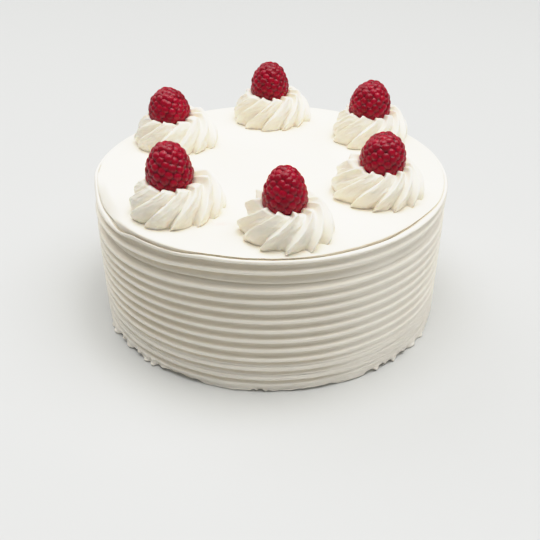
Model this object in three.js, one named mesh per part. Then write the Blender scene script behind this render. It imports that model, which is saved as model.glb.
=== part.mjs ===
// Raspberry meringue cake: a round iced cake with a combed side, six piped
// rosettes of cream on its top, and one raspberry seated in each rosette.
//
// Millimetres, +Z up. The origin is the centre of the cake's flat underside.
// The front of the cake, where rosette_2 stands, faces -Y.

import * as THREE from 'three';
import { ConvexHull } from 'three/addons/math/ConvexHull.js';

const { degToRad, clamp } = THREE.MathUtils;
const FULL_TURN = 2 * Math.PI;

// ---------------------------------------------------------------- dimensions

// The cake.
const CAKE_RADIUS = 90;            // outside of the rim, a 180 mm cake
const CAKE_HEIGHT = 73.5;          // underside to the flat top
const WALL_TAPER = 1.1;            // how much narrower the wall is at the foot
const FOOT_INSET = 0.7;            // the underside is this much inside the wall
const CAKE_SEGMENTS = 48;          // flats round the cake

// The ridges that the icing comb left round the side.
const RIDGE_COUNT = 13;
const FIRST_RIDGE_Z = 3.8;         // height of the lowest ridge
const RIDGE_PITCH = 5.24;          // from ridge to ridge
const RIDGE_DEPTH = 1.8;           // ridge top to groove bottom
const RIDGE_NOSE = 1.9;            // height of a ridge's outer face
const FAINT_RIDGE = 11;            // the comb hardly marked this one
const FAINT_SHARE = 0.35;          // its depth, as a share of the others
const RIDGE_SWAY = 0.5;            // the ridges rise and dip by this much
const SWAY_WAVES = [               // as two slow waves round the cake
  { turns: 3, share: 0.6, start: 0.8 },
  { turns: 5, share: 0.4, start: 2.1 },
];
const HEM_ROUGHNESS = 0.9;         // how far the lowest ridge strays in and out
const HEM_BIAS = 0.7;              // share of that roughness that is inwards

// The rim: a soft round bead, and inside it a thin seam round the flat top.
const BEAD_WIDTH = 4.2;            // edge of the flat top to the outside
const BEAD_DROP = 4.8;             // top of the bead to the groove under it
const BEAD_STEPS = 3;              // bands from its outside over its top to the seam
const BEAD_ARC = degToRad(135);

// The rosettes.
const BLADE_SECTION = [1, 0.58, 0];  // round a blade: sharp crest, broad flank, groove
const SWIRL_STEPS = 5;             // bands from the foot of a rosette to its crown
const SWIRL_EASE = 1.25;           // above 1 the bands are closer at the foot
const SWIRL_TURN = degToRad(48);   // how far a blade turns from foot to crown
const CROWN_HEIGHT = 16.2;         // top of the blades above the cake
const CROWN_NOTCH = 4.0;           // how far the grooves fall below the blade tips
const NOTCH_POWER = 3;             // how late they start to fall
const SHOULDER_SHARE = 0.43;       // how far a blade closes in towards the crown
const SHOULDER_POWER = 2.8;        // how late it does so
const TUCK_SHARE = 0.11;           // how far a blade is tucked in where it meets the cake
const TUCK_FADE = 14;              // how soon the tuck ends
const GROOVE_SHARE = 0.24;         // depth of the grooves, as a share of the radius
const BLADE_WOBBLE = 0.05;         // unevenness of the blades, as a share of their size
const TIP_WOBBLE = 1.1;            // unevenness of the blade tips' heights
const CUP_FLOOR_SHARE = 0.62;      // flat bottom of the cup, as a share of the berry's width

// The raspberries.
const BERRY_SINK = 8;              // underside of a berry above the cake's top
const BERRY_WIDEST = 0.4;          // where it is widest, as a share of its height
const BERRY_FOOT_POWER = 2.7;      // bluntness of its open end
const BERRY_TIP_POWER = 2.0;       // the tip's curve: how late it starts to close
const BERRY_TIP_ROOT = 0.62;       // and how pointed it ends
const DRUPELET_PITCH = 4.9;        // from bead to bead round a row
const DRUPELET_ROW = 4.2;          // from row to row
const DRUPELET_VALLEY = 0.85;      // depth of the creases
const DRUPELET_CROWN = 0.6;        // width of a bead's flat crown, as a share of the bead
const DRUPELET_CROWN_DROP = 0.22;  // how far the crown's edge lies below its middle
const DRUPELET_JITTER = 0.09;      // unevenness in the places of the beads
const BERRY_GAP = 0.45;            // clearance between a berry and the cream round it
const CROWN_WALL = 1.0;            // cream between the blade tips and that clearance

// Where each rosette stands, how wide it is across and how deep from front to
// back, its blades, and its berry: the tip's height above the cake's top, the
// width, the place relative to the rosette, and the lean to the right.
const TOPPINGS = [
  { x: -44.5, y: -45.0, across: 44.4, deep: 43.0, blades: 11, turned: 8,
    berry: { tip: 35.0, width: 22.5, dx: -1.6, dy: 0.0, lean: -3 } },
  { x: 8.0, y: -67.0, across: 42.6, deep: 41.0, blades: 11, turned: 3,
    berry: { tip: 33.5, width: 20.4, dx: -1.6, dy: 0.0, lean: 0 } },
  { x: 53.0, y: -28.0, across: 43.8, deep: 42.0, blades: 12, turned: 14,
    berry: { tip: 31.9, width: 22.5, dx: 0.3, dy: 0.0, lean: 9 } },
  { x: 54.5, y: 40.0, across: 42.4, deep: 41.0, blades: 11, turned: 0,
    berry: { tip: 32.8, width: 22.9, dx: -0.6, dy: 0.0, lean: 7 } },
  { x: 0.5, y: 66.5, across: 45.0, deep: 40.0, blades: 12, turned: 20,
    berry: { tip: 33.6, width: 22.1, dx: -0.8, dy: 1.4, lean: 0 } },
  { x: -52.0, y: 33.5, across: 45.0, deep: 42.0, blades: 11, turned: 11,
    berry: { tip: 31.2, width: 22.7, dx: -2.1, dy: 0.0, lean: -6 } },
];

// ----------------------------------------------------------------- materials

const icing = new THREE.MeshStandardMaterial({ color: 0xf6f2e8, roughness: 0.6, metalness: 0 });
const cream = new THREE.MeshStandardMaterial({ color: 0xf8f3e4, roughness: 0.5, metalness: 0 });
const berrySkin = new THREE.MeshStandardMaterial({ color: 0x96112b, roughness: 0.4, metalness: 0 });

// ------------------------------------------------------------------- helpers

// A repeatable stream of numbers from 0 to 1.
function seededRandom(seed) {
  let state = seed >>> 0;
  return () => {
    state = (state + 0x6d2b79f5) >>> 0;
    let mixed = Math.imul(state ^ (state >>> 15), 1 | state);
    mixed = (mixed + Math.imul(mixed ^ (mixed >>> 7), 61 | mixed)) ^ mixed;
    return ((mixed ^ (mixed >>> 14)) >>> 0) / 2 ** 32;
  };
}

// A number from -size to +size.
function either(random, size) {
  return (random() * 2 - 1) * size;
}

// A point at a radius and an angle, at a height.
function polar(radius, angle, z) {
  return new THREE.Vector3(radius * Math.cos(angle), radius * Math.sin(angle), z);
}

function meshFrom(name, points, triangles, material) {
  const geometry = new THREE.BufferGeometry();
  const numbers = points.flatMap((point) => point.toArray());
  geometry.setAttribute('position', new THREE.Float32BufferAttribute(numbers, 3));
  geometry.setIndex(triangles.flat());
  geometry.computeVertexNormals();
  const mesh = new THREE.Mesh(geometry, material);
  mesh.name = name;
  return mesh;
}

// A closed skin over rings of points, each ring running anticlockwise seen
// from above: the first ring closes on a bottom point, the last on an end point.
function skinOverRings(rings, bottom, end) {
  const count = rings[0].length;
  const points = [...rings.flat(), bottom, end];
  const bottomIndex = points.length - 2;
  const endIndex = points.length - 1;
  const triangles = [];
  for (let i = 0; i < count; i++) {
    const next = (i + 1) % count;
    triangles.push([bottomIndex, next, i]);
    for (let ring = 0; ring + 1 < rings.length; ring++) {
      const low = ring * count;
      const high = low + count;
      triangles.push([low + i, low + next, high + next], [low + i, high + next, high + i]);
    }
    const last = (rings.length - 1) * count;
    triangles.push([last + i, last + next, endIndex]);
  }
  return { points, triangles };
}

// ---------------------------------------------------------------------- cake

// The wall leans out slightly from the foot to the rim.
function wallRadius(z) {
  return CAKE_RADIUS - WALL_TAPER * (1 - z / CAKE_HEIGHT);
}

// How far the ridges rise or dip at an angle round the cake, from -1 to 1.
function swayAt(angle) {
  return SWAY_WAVES.reduce((sum, wave) => sum + wave.share * Math.sin(wave.turns * angle + wave.start), 0);
}

// Every ring from the underside to the edge of the flat top: its radius and
// height, how much it sways up and down, and how rough it is in and out.
function cakeProfile() {
  const rings = [{ r: wallRadius(0) - FOOT_INSET, z: 0, sway: 0, rough: 0 }];
  for (let k = 0; k < RIDGE_COUNT; k++) {
    const z = FIRST_RIDGE_Z + k * RIDGE_PITCH;
    const worn = k === FAINT_RIDGE ? RIDGE_DEPTH * (1 - FAINT_SHARE) : 0;
    const nose = wallRadius(z) - worn;
    const isHem = k === 0;
    const sway = isHem ? 0 : RIDGE_SWAY;
    const rough = isHem ? HEM_ROUGHNESS : 0;
    rings.push({ r: nose, z: z - RIDGE_NOSE / 2, sway, rough });
    rings.push({ r: nose, z: z + RIDGE_NOSE / 2, sway, rough: rough / 2 });
    if (k < RIDGE_COUNT - 1) {
      rings.push({ r: wallRadius(z) - RIDGE_DEPTH, z: z + RIDGE_PITCH / 2, sway: RIDGE_SWAY, rough: 0 });
    }
  }
  const groove = CAKE_HEIGHT - BEAD_DROP;
  rings.push({ r: wallRadius(groove) - RIDGE_DEPTH, z: groove, sway: 0, rough: 0 });
  for (let step = 0; step <= BEAD_STEPS; step++) {
    const angle = (BEAD_ARC * step) / BEAD_STEPS;
    const r = CAKE_RADIUS - (BEAD_WIDTH / 2) * (1 - Math.cos(angle));
    const z = CAKE_HEIGHT - (BEAD_DROP / 2) * (1 - Math.sin(angle));
    rings.push({ r, z, sway: 0, rough: 0 });
  }
  rings.push({ r: CAKE_RADIUS - BEAD_WIDTH, z: CAKE_HEIGHT, sway: 0, rough: 0 });
  return rings;
}

function cakeBody() {
  const random = seededRandom(11);
  const strays = Array.from({ length: CAKE_SEGMENTS }, () => random() - HEM_BIAS);
  const rings = cakeProfile().map((ring) => strays.map((stray, i) => {
    const angle = (i / CAKE_SEGMENTS) * FULL_TURN;
    return polar(ring.r + ring.rough * stray, angle, ring.z + ring.sway * swayAt(angle));
  }));
  const skin = skinOverRings(rings, new THREE.Vector3(0, 0, 0), new THREE.Vector3(0, 0, CAKE_HEIGHT));
  return meshFrom('cake_body', skin.points, skin.triangles, icing);
}

// --------------------------------------------------------------- raspberries

// Radius of the berry's outer form at a share of its height, as a share of its
// half width: blunt at the open end, rounded to a point at the tip.
function berryForm(share) {
  if (share < BERRY_WIDEST) {
    const down = (BERRY_WIDEST - share) / BERRY_WIDEST;
    return Math.sqrt(1 - down ** BERRY_FOOT_POWER);
  }
  const up = (share - BERRY_WIDEST) / (1 - BERRY_WIDEST);
  return (1 - up ** BERRY_TIP_POWER) ** BERRY_TIP_ROOT;
}

function berryHeight(berry) {
  return berry.tip - BERRY_SINK;
}

function berryRadiusAt(berry, height) {
  return (berryForm(clamp(height / berryHeight(berry), 0, 1)) * berry.width) / 2;
}

// The berry's own frame, seen from its rosette's: it leans about its widest point.
function berryFrame(berry) {
  const lean = degToRad(berry.lean);
  const pivot = berryHeight(berry) * BERRY_WIDEST;
  const rise = BERRY_SINK + pivot * (1 - Math.cos(lean));
  const place = new THREE.Vector3(berry.dx - pivot * Math.sin(lean), berry.dy, rise);
  const turn = new THREE.Quaternion().setFromAxisAngle(new THREE.Vector3(0, 1, 0), lean);
  return new THREE.Matrix4().compose(place, turn, new THREE.Vector3(1, 1, 1));
}

// The heights of the rows of beads: equal steps along the berry's form, down
// from the tip. The form is walked in even turns, so that its ends are followed too.
function drupeletRows(berry) {
  const walk = 400;
  const rows = [];
  let travelled = 0;
  let before = new THREE.Vector2(0, berryHeight(berry));
  for (let i = 1; i < walk; i++) {
    const height = berryHeight(berry) * (0.5 + 0.5 * Math.cos((i / walk) * Math.PI));
    const here = new THREE.Vector2(berryRadiusAt(berry, height), height);
    travelled += here.distanceTo(before);
    before = here;
    if (travelled >= DRUPELET_ROW * (rows.length + 1)) rows.push(height);
  }
  return rows;
}

// The middle of every bead: one at the tip, one under the foot, and the rows between.
function drupeletPlaces(berry, random) {
  const tall = berryHeight(berry);
  const places = [new THREE.Vector3(0, 0, tall), new THREE.Vector3(0, 0, 0)];
  for (const row of drupeletRows(berry)) {
    const count = Math.round((FULL_TURN * berryRadiusAt(berry, row)) / DRUPELET_PITCH);
    const start = random() * FULL_TURN;
    for (let k = 0; k < count; k++) {
      const angle = start + ((k + either(random, DRUPELET_JITTER)) / count) * FULL_TURN;
      const height = clamp(row + either(random, DRUPELET_JITTER * DRUPELET_ROW), 0, tall);
      places.push(polar(berryRadiusAt(berry, height), angle, height));
    }
  }
  return places;
}

// The corners of a hull's faces as indices into the list of points.
function hullTriangles(points) {
  const order = new Map(points.map((point, index) => [point, index]));
  const hull = new ConvexHull().setFromPoints(points);
  return hull.faces.map((face) => {
    const corners = [];
    let edge = face.edge;
    do {
      corners.push(order.get(edge.head().point));
      edge = edge.next;
    } while (edge !== face.edge);
    return corners;
  });
}

// The creases' corners round each bead, anticlockwise seen from outside.
function cornersRound(place, outward, corners, own) {
  const askew = new THREE.Vector3(0.31, 0.87, 0.38);   // no bead points this way
  const side = askew.cross(outward).normalize();
  const up = outward.clone().cross(side);
  const bearing = (corner) => {
    const offset = corners[corner].clone().sub(place);
    return Math.atan2(offset.dot(up), offset.dot(side));
  };
  return own.sort((a, b) => bearing(a) - bearing(b));
}

// A raspberry: every bead is the patch round one place, with its edge in the
// creases between neighbours and a raised crown. Beads inside the cup are plain.
function raspberry(name, berry, seed) {
  const places = drupeletPlaces(berry, seededRandom(seed));
  const faces = hullTriangles(places);
  const middle = new THREE.Vector3(0, 0, berryHeight(berry) * BERRY_WIDEST);
  const outwardAt = (point) => point.clone().sub(middle).normalize();
  const corners = faces.map(([a, b, c]) => (
    places[a].clone().add(places[b]).add(places[c]).divideScalar(3)));
  const points = corners.map((corner) => (
    corner.clone().addScaledVector(outwardAt(corner), -DRUPELET_VALLEY)));
  const triangles = [];
  const hiddenBelow = CROWN_HEIGHT - CROWN_NOTCH - BERRY_SINK;

  places.forEach((place, index) => {
    const outward = outwardAt(place);
    const own = [...faces.keys()].filter((corner) => faces[corner].includes(index));
    const ring = cornersRound(place, outward, corners, own);
    let cap = ring;
    if (place.z >= hiddenBelow) {
      cap = ring.map((corner) => {
        const point = place.clone().lerp(corners[corner], DRUPELET_CROWN);
        return points.push(point.addScaledVector(outward, -DRUPELET_CROWN_DROP)) - 1;
      });
      ring.forEach((corner, k) => {
        const next = (k + 1) % ring.length;
        triangles.push([corner, ring[next], cap[next]], [corner, cap[next], cap[k]]);
      });
    }
    for (let k = 1; k + 1 < cap.length; k++) triangles.push([cap[0], cap[k], cap[k + 1]]);
  });
  return meshFrom(name, points, triangles, berrySkin);
}

// ------------------------------------------------------------------ rosettes

// How far out a blade reaches at a share of the crown's height, as a share of
// the rosette's radius.
function bladeReach(share) {
  const closing = 1 - SHOULDER_SHARE * share ** SHOULDER_POWER;
  const tucked = 1 - TUCK_SHARE * Math.exp(-TUCK_FADE * share);
  return closing * tucked;
}

// Moves a point away from the berry's axis until it clears the berry.
function clearOfBerry(point, berry, frame) {
  const local = point.clone().applyMatrix4(frame.clone().invert());
  const reach = Math.hypot(local.x, local.y);
  const least = berryRadiusAt(berry, local.z) + BERRY_GAP + CROWN_WALL;
  if (reach < least) {
    local.x *= least / reach;
    local.y *= least / reach;
  }
  return local.applyMatrix4(frame);
}

// A piped rosette: twisted blades from a tucked foot up to a crown of tips,
// then down into the cup that holds the berry. Each blade takes three points
// of a ring, on its crest, its broad flank and its groove.
function rosette(name, topping, seed) {
  const random = seededRandom(seed);
  const { berry, blades } = topping;
  const frame = berryFrame(berry);
  const samples = BLADE_SECTION.length;
  const blade = Array.from({ length: blades }, () => ({
    reach: 1 + either(random, BLADE_WOBBLE),
    turn: either(random, BLADE_WOBBLE),
    tip: either(random, TIP_WOBBLE),
  }));
  const ringOf = (place) => Array.from({ length: blades * samples }, (_, i) => {
    const own = blade[Math.floor(i / samples)];
    const angle = degToRad(topping.turned) + ((i / samples + own.turn) / blades) * FULL_TURN;
    return place(angle, own, BLADE_SECTION[i % samples]);
  });

  const rings = [];
  for (let step = 0; step <= SWIRL_STEPS; step++) {
    const share = (step / SWIRL_STEPS) ** SWIRL_EASE;
    rings.push(ringOf((angle, own, crest) => {
      const reach = bladeReach(share) * own.reach * (1 - GROOVE_SHARE * (1 - crest));
      const notch = own.tip * crest - CROWN_NOTCH * (1 - crest);
      const height = share * CROWN_HEIGHT + notch * share ** NOTCH_POWER;
      const point = polar(reach, angle + SWIRL_TURN * share, height);
      point.x *= topping.across / 2;
      point.y *= topping.deep / 2;
      return clearOfBerry(point, berry, frame);
    }));
  }

  const cupSide = CROWN_HEIGHT - CROWN_NOTCH - BERRY_SINK - CROWN_WALL;
  const cup = [
    { height: cupSide, radius: berryRadiusAt(berry, cupSide) + BERRY_GAP },
    { height: -BERRY_GAP, radius: (berry.width / 2) * CUP_FLOOR_SHARE },
  ];
  for (const { height, radius } of cup) {
    rings.push(ringOf((angle) => polar(radius, angle + SWIRL_TURN, height).applyMatrix4(frame)));
  }
  const underBerry = new THREE.Vector3(0, 0, -BERRY_GAP).applyMatrix4(frame);
  const skin = skinOverRings(rings, new THREE.Vector3(0, 0, 0), underBerry);
  return meshFrom(name, skin.points, skin.triangles, cream);
}

// ------------------------------------------------------------------ assembly

const cake = new THREE.Group();
cake.name = 'raspberry_meringue_cake';
cake.add(cakeBody());

TOPPINGS.forEach((topping, index) => {
  const stand = new THREE.Group();
  stand.position.set(topping.x, topping.y, CAKE_HEIGHT);
  stand.add(rosette(`rosette_${index + 1}`, topping, 100 + index));
  const fruit = raspberry(`raspberry_${index + 1}`, topping.berry, 200 + index);
  fruit.applyMatrix4(berryFrame(topping.berry));
  stand.add(fruit);
  cake.add(stand);
});

export default cake;
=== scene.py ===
# %% [markdown]
# # A raspberry meringue cake
#
# The real cake is a round one, coated with white icing. A toothed comb was drawn round its side, so the
# side carries thirteen nearly level ridges, and the top was smoothed flat with a spatula, which left a soft
# bead round the rim. Six rosettes of cream were piped on the top, and each one holds a fresh raspberry.
#
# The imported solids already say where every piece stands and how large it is. This lesson dresses them:
# the icing, the rosettes and the berries are made again as fine meshes by Geometry Nodes, because each of
# them follows a rule that a few numbers can steer. Everything is in metres, with +Z up, and the front of
# the cake faces -Y.

import math

import bpy
from mathutils import Matrix, Vector


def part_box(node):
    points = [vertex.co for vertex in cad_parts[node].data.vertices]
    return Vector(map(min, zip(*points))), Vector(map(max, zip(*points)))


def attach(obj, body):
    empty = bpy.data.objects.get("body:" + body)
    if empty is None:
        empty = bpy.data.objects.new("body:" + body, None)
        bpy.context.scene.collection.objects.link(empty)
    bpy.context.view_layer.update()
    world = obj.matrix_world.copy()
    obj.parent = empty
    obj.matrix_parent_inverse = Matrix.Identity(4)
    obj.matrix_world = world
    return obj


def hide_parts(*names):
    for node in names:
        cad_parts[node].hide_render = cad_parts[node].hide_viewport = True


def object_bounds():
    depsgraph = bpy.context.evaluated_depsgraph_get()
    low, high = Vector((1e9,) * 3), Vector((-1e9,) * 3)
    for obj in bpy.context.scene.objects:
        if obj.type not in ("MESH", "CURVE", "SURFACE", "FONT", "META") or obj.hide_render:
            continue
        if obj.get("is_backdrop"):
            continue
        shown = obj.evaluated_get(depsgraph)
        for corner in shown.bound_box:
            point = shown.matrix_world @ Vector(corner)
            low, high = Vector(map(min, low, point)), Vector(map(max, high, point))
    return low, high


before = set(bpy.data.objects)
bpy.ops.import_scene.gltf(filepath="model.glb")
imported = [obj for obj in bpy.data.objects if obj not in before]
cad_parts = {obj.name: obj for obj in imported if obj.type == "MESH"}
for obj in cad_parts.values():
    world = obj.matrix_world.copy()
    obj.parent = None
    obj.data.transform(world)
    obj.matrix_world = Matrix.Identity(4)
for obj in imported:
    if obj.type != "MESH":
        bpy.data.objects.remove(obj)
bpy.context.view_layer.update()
print("solids:", sorted(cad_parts))

# %% [markdown]
# ## Sizes
#
# A cook would give these sizes in millimetres, so the lesson does too, and MM turns them into metres.
# The height of the flat top and the radius of the rim are read from the solid, so that they can't
# disagree with it.

# %% Sizes of the cake
MM = 0.001
DEGREE = math.pi / 180
FULL_TURN = 2 * math.pi

body_low, body_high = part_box("cake_body")
RIM_RADIUS = body_high.x
TOP = body_high.z
print(f"rim radius {RIM_RADIUS / MM:.1f} mm, flat top at {TOP / MM:.1f} mm")

# %% [markdown]
# ## Formulas in a node tree
#
# Geometry Nodes work out every point of a mesh at once. A formula such as radius = reach * (1 - groove)
# takes one Math node for each sign in it, which is slow to wire by hand. The small class below wires them:
# adding or multiplying two of its values places the Math node that does it. The same class serves the
# materials later, because shader trees use the same Math node.

# %% Values that can be written in formulas
class Value:
    """A number that a node tree works out. Signs between two of them add Math nodes."""

    def __init__(self, tree, source):
        self.tree = tree
        self.source = source

    def math(self, operation, *others):
        node = self.tree.nodes.new("ShaderNodeMath")
        node.operation = operation
        for socket, value in zip(node.inputs, (self, *others)):
            plug(self.tree, socket, value)
        return Value(self.tree, node.outputs[0])

    def __add__(self, other):
        return self.math("ADD", other)

    def __sub__(self, other):
        return self.math("SUBTRACT", other)

    def __mul__(self, other):
        return self.math("MULTIPLY", other)

    def __truediv__(self, other):
        return self.math("DIVIDE", other)

    def __pow__(self, other):
        return self.math("POWER", other)

    def __rsub__(self, other):
        return self.math("MULTIPLY_ADD", -1.0, other)

    __radd__ = __add__
    __rmul__ = __mul__

    def most(self, other):
        return self.math("MAXIMUM", other)

    def least(self, other):
        return self.math("MINIMUM", other)


def plug(tree, socket, value):
    """Feeds a socket with a Value, with another node's socket, or with a plain number."""
    if isinstance(value, Value):
        tree.links.new(value.source, socket)
    elif isinstance(value, bpy.types.NodeSocket):
        tree.links.new(value, socket)
    else:
        socket.default_value = value


def add(tree, kind, inputs=None, **settings):
    """A new node with its settings, and with its named inputs fed."""
    node = tree.nodes.new(kind)
    for name, value in settings.items():
        setattr(node, name, value)
    for name, value in (inputs or {}).items():
        socket = next(s for s in node.inputs if s.enabled and s.name == name)
        plug(tree, socket, value)
    return node


def result(tree, kind, inputs=None, **settings):
    """The first output of a new node, as a Value."""
    node = add(tree, kind, inputs, **settings)
    return Value(tree, next(s for s in node.outputs if s.enabled))


# %% Shapes of a number: ramps, bumps, curves and noise
def ramp(value, start, end):
    """0 up to start, 1 from end on, and a smooth slope between them."""
    inputs = {"Value": value, "From Min": start, "From Max": end}
    return result(value.tree, "ShaderNodeMapRange", inputs, interpolation_type="SMOOTHSTEP")


def mix(first, second, share):
    """first where share is 0, second where it is 1."""
    return (second - first) * share + first


def curve(value, points):
    """The height of a drawn curve at value, from 0 to 1."""
    node = add(value.tree, "ShaderNodeFloatCurve", {"Value": value})
    line = node.mapping.curves[0]
    for place, point in enumerate(points):
        if place < len(line.points):
            line.points[place].location = point
        else:
            line.points.new(*point)
    node.mapping.update()
    return Value(value.tree, node.outputs[0])


def vector(tree, x, y, z):
    return result(tree, "ShaderNodeCombineXYZ", {"X": x, "Y": y, "Z": z})


def x_and_y(place):
    split = add(place.tree, "ShaderNodeSeparateXYZ", {"Vector": place})
    return Value(place.tree, split.outputs["X"]), Value(place.tree, split.outputs["Y"])


def vector_math(operation, first, second=None):
    """What a Vector Math node makes of one vector, or of two."""
    node = add(first.tree, "ShaderNodeVectorMath", operation=operation)
    plug(first.tree, node.inputs[0], first)
    if second is not None:
        plug(first.tree, node.inputs[1], second)
    wanted = "Value" if operation in ("LENGTH", "DOT_PRODUCT") else "Vector"
    return Value(first.tree, node.outputs[wanted])


def noise(place, seed, detail=2.0):
    """Smooth random lumps, each about 1 across, with heights mostly from -1 to 1."""
    inputs = {"Vector": place, "W": seed, "Scale": 1.0, "Detail": detail}
    lumps = result(place.tree, "ShaderNodeTexNoise", inputs, noise_dimensions="4D")
    return (lumps - 0.5) * 3.0


# %% [markdown]
# ## Turning a profile
#
# Icing, rosettes and berries all go round an upright axis, as clay does on a potter's wheel. The nodes
# below take a flat grid whose columns become directions round the axis and whose rows become the points
# of a profile. Each row can carry values of its own, such as how deep a groove is there, and each of the
# trees that follow bends the turned shape with those values and with noise.

# %% A tree with named inputs, and what runs it
def new_tree(name, sizes):
    """A Geometry Nodes tree with a named input for each size."""
    tree = bpy.data.node_groups.new(name, "GeometryNodeTree")
    tree.interface.new_socket("Geometry", in_out="OUTPUT", socket_type="NodeSocketGeometry")
    tree.interface.new_socket("Geometry", in_out="INPUT", socket_type="NodeSocketGeometry")
    for label, start in sizes.items():
        kind = "NodeSocketInt" if isinstance(start, int) else "NodeSocketFloat"
        tree.interface.new_socket(label, in_out="INPUT", socket_type=kind).default_value = start
    given = tree.nodes.new("NodeGroupInput")
    return tree, {s.name: Value(tree, s) for s in given.outputs if s.name}


# Points that lie nearer to each other than this become one point.
TOUCHING = 0.01 * MM


def store(tree, mesh, values):
    """Lets the mesh carry named values, which the finishes read."""
    for name, value in values.items():
        mesh = result(tree, "GeometryNodeStoreNamedAttribute",
                      {"Geometry": mesh, "Name": name, "Value": value}, data_type="FLOAT")
    return mesh


def finish_tree(tree, mesh, position, material, stored):
    """Moves the points, closes seams and poles, and ends the tree with its material."""
    moved = result(tree, "GeometryNodeSetPosition",
                   {"Geometry": store(tree, mesh, stored), "Position": position})
    closed = result(tree, "GeometryNodeMergeByDistance", {"Geometry": moved, "Distance": TOUCHING})
    return end_tree(tree, closed, material)


def end_tree(tree, mesh, material):
    smooth = result(tree, "GeometryNodeSetShadeSmooth", {"Geometry": mesh})
    real = result(tree, "GeometryNodeRealizeInstances", {"Geometry": smooth})
    painted = result(tree, "GeometryNodeSetMaterial", {"Geometry": real, "Material": material})
    out = tree.nodes.new("NodeGroupOutput")
    plug(tree, out.inputs["Geometry"], painted)
    return tree


def grow(name, rows, tree, sizes):
    """Runs a tree on a row of points, and keeps the result as a plain mesh object."""
    mesh = bpy.data.meshes.new(name)
    mesh.from_pydata([(row["radius"], 0.0, row["height"]) for row in rows], [], [])
    for label in rows[0]:
        carried = mesh.attributes.new(label, "FLOAT", "POINT")
        carried.data.foreach_set("value", [row[label] for row in rows])
    piece = bpy.data.objects.new(name, mesh)
    bpy.context.scene.collection.objects.link(piece)
    modifier = piece.modifiers.new(tree.name, "NODES")
    modifier.node_group = tree
    sockets = {s.name: s.identifier for s in tree.interface.items_tree if s.in_out == "INPUT"}
    for label, value in sizes.items():
        modifier[sockets[label]] = value
    graph = bpy.context.evaluated_depsgraph_get()
    made = bpy.data.meshes.new_from_object(piece.evaluated_get(graph), depsgraph=graph,
                                           preserve_all_data_layers=True)
    piece.modifiers.clear()
    piece.data = made
    made.name = name
    bpy.data.meshes.remove(mesh)
    triangles = sum(len(face.vertices) - 2 for face in made.polygons)
    print(f"{name}: {len(made.vertices)} points, {triangles} triangles")
    return piece


# %% The turned grid itself
class Wheel:
    """A grid whose columns go round the axis and whose rows follow the points of a profile."""

    def __init__(self, tree, rows, columns):
        self.tree = tree
        self.rows = rows
        size = add(tree, "GeometryNodeAttributeDomainSize", {"Geometry": rows})
        count = Value(tree, size.outputs["Point Count"])
        self.grid = result(tree, "GeometryNodeMeshGrid", {
            "Size X": 1.0, "Size Y": 1.0, "Vertices X": columns + 1, "Vertices Y": count})
        x, y = x_and_y(result(tree, "GeometryNodeInputPosition"))
        self.turn = x + 0.5
        self.row = ((y + 0.5) * (count - 1)).math("ROUND")
        self.angle = self.turn * FULL_TURN

    def carried(self, name):
        """The value of that name that this row of the profile carries."""
        read = result(self.tree, "GeometryNodeInputNamedAttribute", {"Name": name}, data_type="FLOAT")
        return result(self.tree, "GeometryNodeSampleIndex",
                      {"Geometry": self.rows, "Value": read, "Index": self.row}, data_type="FLOAT")

    def around(self, lumps, height, seed, detail=2.0):
        """Noise that closes on itself round the axis, with that many lumps in a full turn."""
        reach = lumps / FULL_TURN
        place = vector(self.tree, self.angle.math("COSINE") * reach,
                       self.angle.math("SINE") * reach, height)
        return noise(place, seed, detail)

    def facing(self, from_front):
        """1 where the surface faces that way, in degrees right of the front, and 0 a quarter turn away."""
        return (self.angle - (from_front - 90) * DEGREE).math("COSINE").most(0.0)

    def bump(self, from_front, half_width):
        """1 at a direction, in degrees right of the front, and 0 from half_width degrees away."""
        return ramp(self.facing(from_front), math.cos(half_width * DEGREE), 1.0)

    def spread(self, places):
        """Several bumps added up, each given by its direction, its half width and its amount."""
        return sum((self.bump(at, wide) * amount for at, wide, amount in places), self.turn * 0.0)


def row_of(radius, height, **carried):
    return {"radius": radius, "height": height, **carried}


# %% [markdown]
# ## Finishes
#
# Icing and cream are whipped fat, sugar and air. Light goes a little way into them and comes out warmer,
# so hollows look ivory while open surfaces look white. That takes a subsurface share in the shader, a
# darker, warmer colour painted where the mesh says that it is hollow, which is painted shade, and a very
# fine grain of air bubbles.
# The grain is used by three finishes, so it is a shader group of its own, placed in each of them.

# %% The grain of whipped cream, as a shader group
def grain_group():
    tree = bpy.data.node_groups.new("Whipped grain", "ShaderNodeTree")
    for label, kind in (("Place", "NodeSocketVector"), ("Grain Size", "NodeSocketFloat")):
        tree.interface.new_socket(label, in_out="INPUT", socket_type=kind)
    for label in ("Tone", "Height"):
        tree.interface.new_socket(label, in_out="OUTPUT", socket_type="NodeSocketFloat")
    given = tree.nodes.new("NodeGroupInput")
    place = Value(tree, given.outputs["Place"])
    fine = Value(tree, given.outputs["Grain Size"]) ** -1.0
    patches = result(tree, "ShaderNodeTexNoise", {"Vector": place, "Scale": 70.0, "Detail": 3.0})
    grain = result(tree, "ShaderNodeTexNoise", {"Vector": place, "Scale": fine, "Detail": 4.0})
    bubbles = result(tree, "ShaderNodeTexVoronoi", {"Vector": place, "Scale": fine * 0.35})
    pits = 1.0 - ramp(bubbles, 0.05, 0.22)
    out = tree.nodes.new("NodeGroupOutput")
    plug(tree, out.inputs["Tone"], patches)
    plug(tree, out.inputs["Height"], grain - pits * 0.35)
    return tree


WHIPPED_GRAIN = grain_group()


# %% Helpers for a finish
def new_finish(name, **constants):
    """A material with a Principled shader whose constant values are set on its own sockets."""
    material = bpy.data.materials.new(name)
    material.use_nodes = True
    tree = material.node_tree
    shader = tree.nodes["Principled BSDF"]
    for label, value in constants.items():
        shader.inputs[label.replace("_", " ")].default_value = value
    place = Value(tree, tree.nodes.new("ShaderNodeTexCoord").outputs["Object"])
    return material, tree, shader, place


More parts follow.
